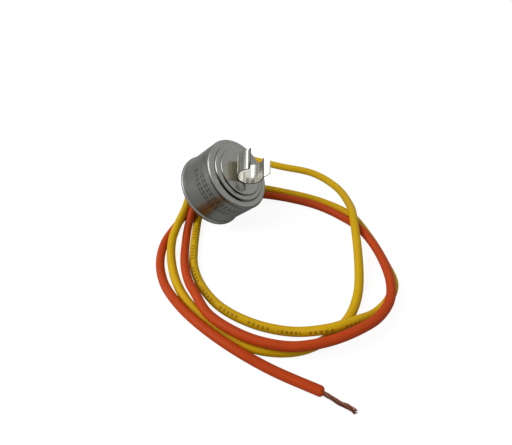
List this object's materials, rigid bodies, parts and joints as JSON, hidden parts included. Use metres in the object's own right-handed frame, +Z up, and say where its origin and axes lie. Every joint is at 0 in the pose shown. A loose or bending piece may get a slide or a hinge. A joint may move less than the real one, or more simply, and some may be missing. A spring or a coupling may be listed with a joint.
{
  "type": "defrost thermostat",
  "caption": "Sealed round bimetal switch in a stepped metal can, with a spring clip for a tube on its face and insulated wire leads coiled beside it.",
  "frame": {"origin": "on the table, under the middle of the box round the can and its clip, as they lie", "axes": "+Z up from the table, +X the way the face of the can leans, +Y across the can; the can leans 46.4 degrees from upright towards +X"},
  "size_m": [0.086, 0.0929, 0.0308],
  "materials": {
    "case_aluminium": "satin drawn sheet",
    "clip_steel": "bright spring steel",
    "bimetal": "rolled bimetal",
    "plate_steel": "plain",
    "ceramic": "fired ceramic",
    "phenolic": "moulded",
    "spring_bronze": "rolled",
    "contact_silver": "bright",
    "brass": "plain",
    "fibre": "pressed fibre",
    "rubber": "matt",
    "compound": "poured",
    "copper": "twisted strands",
    "orange_insulation": "smooth",
    "yellow_insulation": "smooth"
  },
  "bodies": {
    "root": {"case": "case_aluminium", "tube_clip": "clip_steel", "bimetal_disc": "bimetal", "disc_plate": "plate_steel", "transfer_pin": "ceramic", "switch_base": "phenolic", "contact_arm": "spring_bronze", "arm_contact": "contact_silver", "arm_rivet": "brass", "arm_terminal": "brass", "fixed_contact": "contact_silver", "fixed_rivet": "brass", "fixed_terminal": "brass", "base_cover": "fibre", "seal_ring": "rubber", "sealing_compound": "compound", "orange_conductor": "copper", "yellow_conductor": "copper", "orange_lead": "orange_insulation", "yellow_lead": "yellow_insulation", "orange_strands": "copper", "yellow_strands": "copper"}
  },
  "joints": []
}
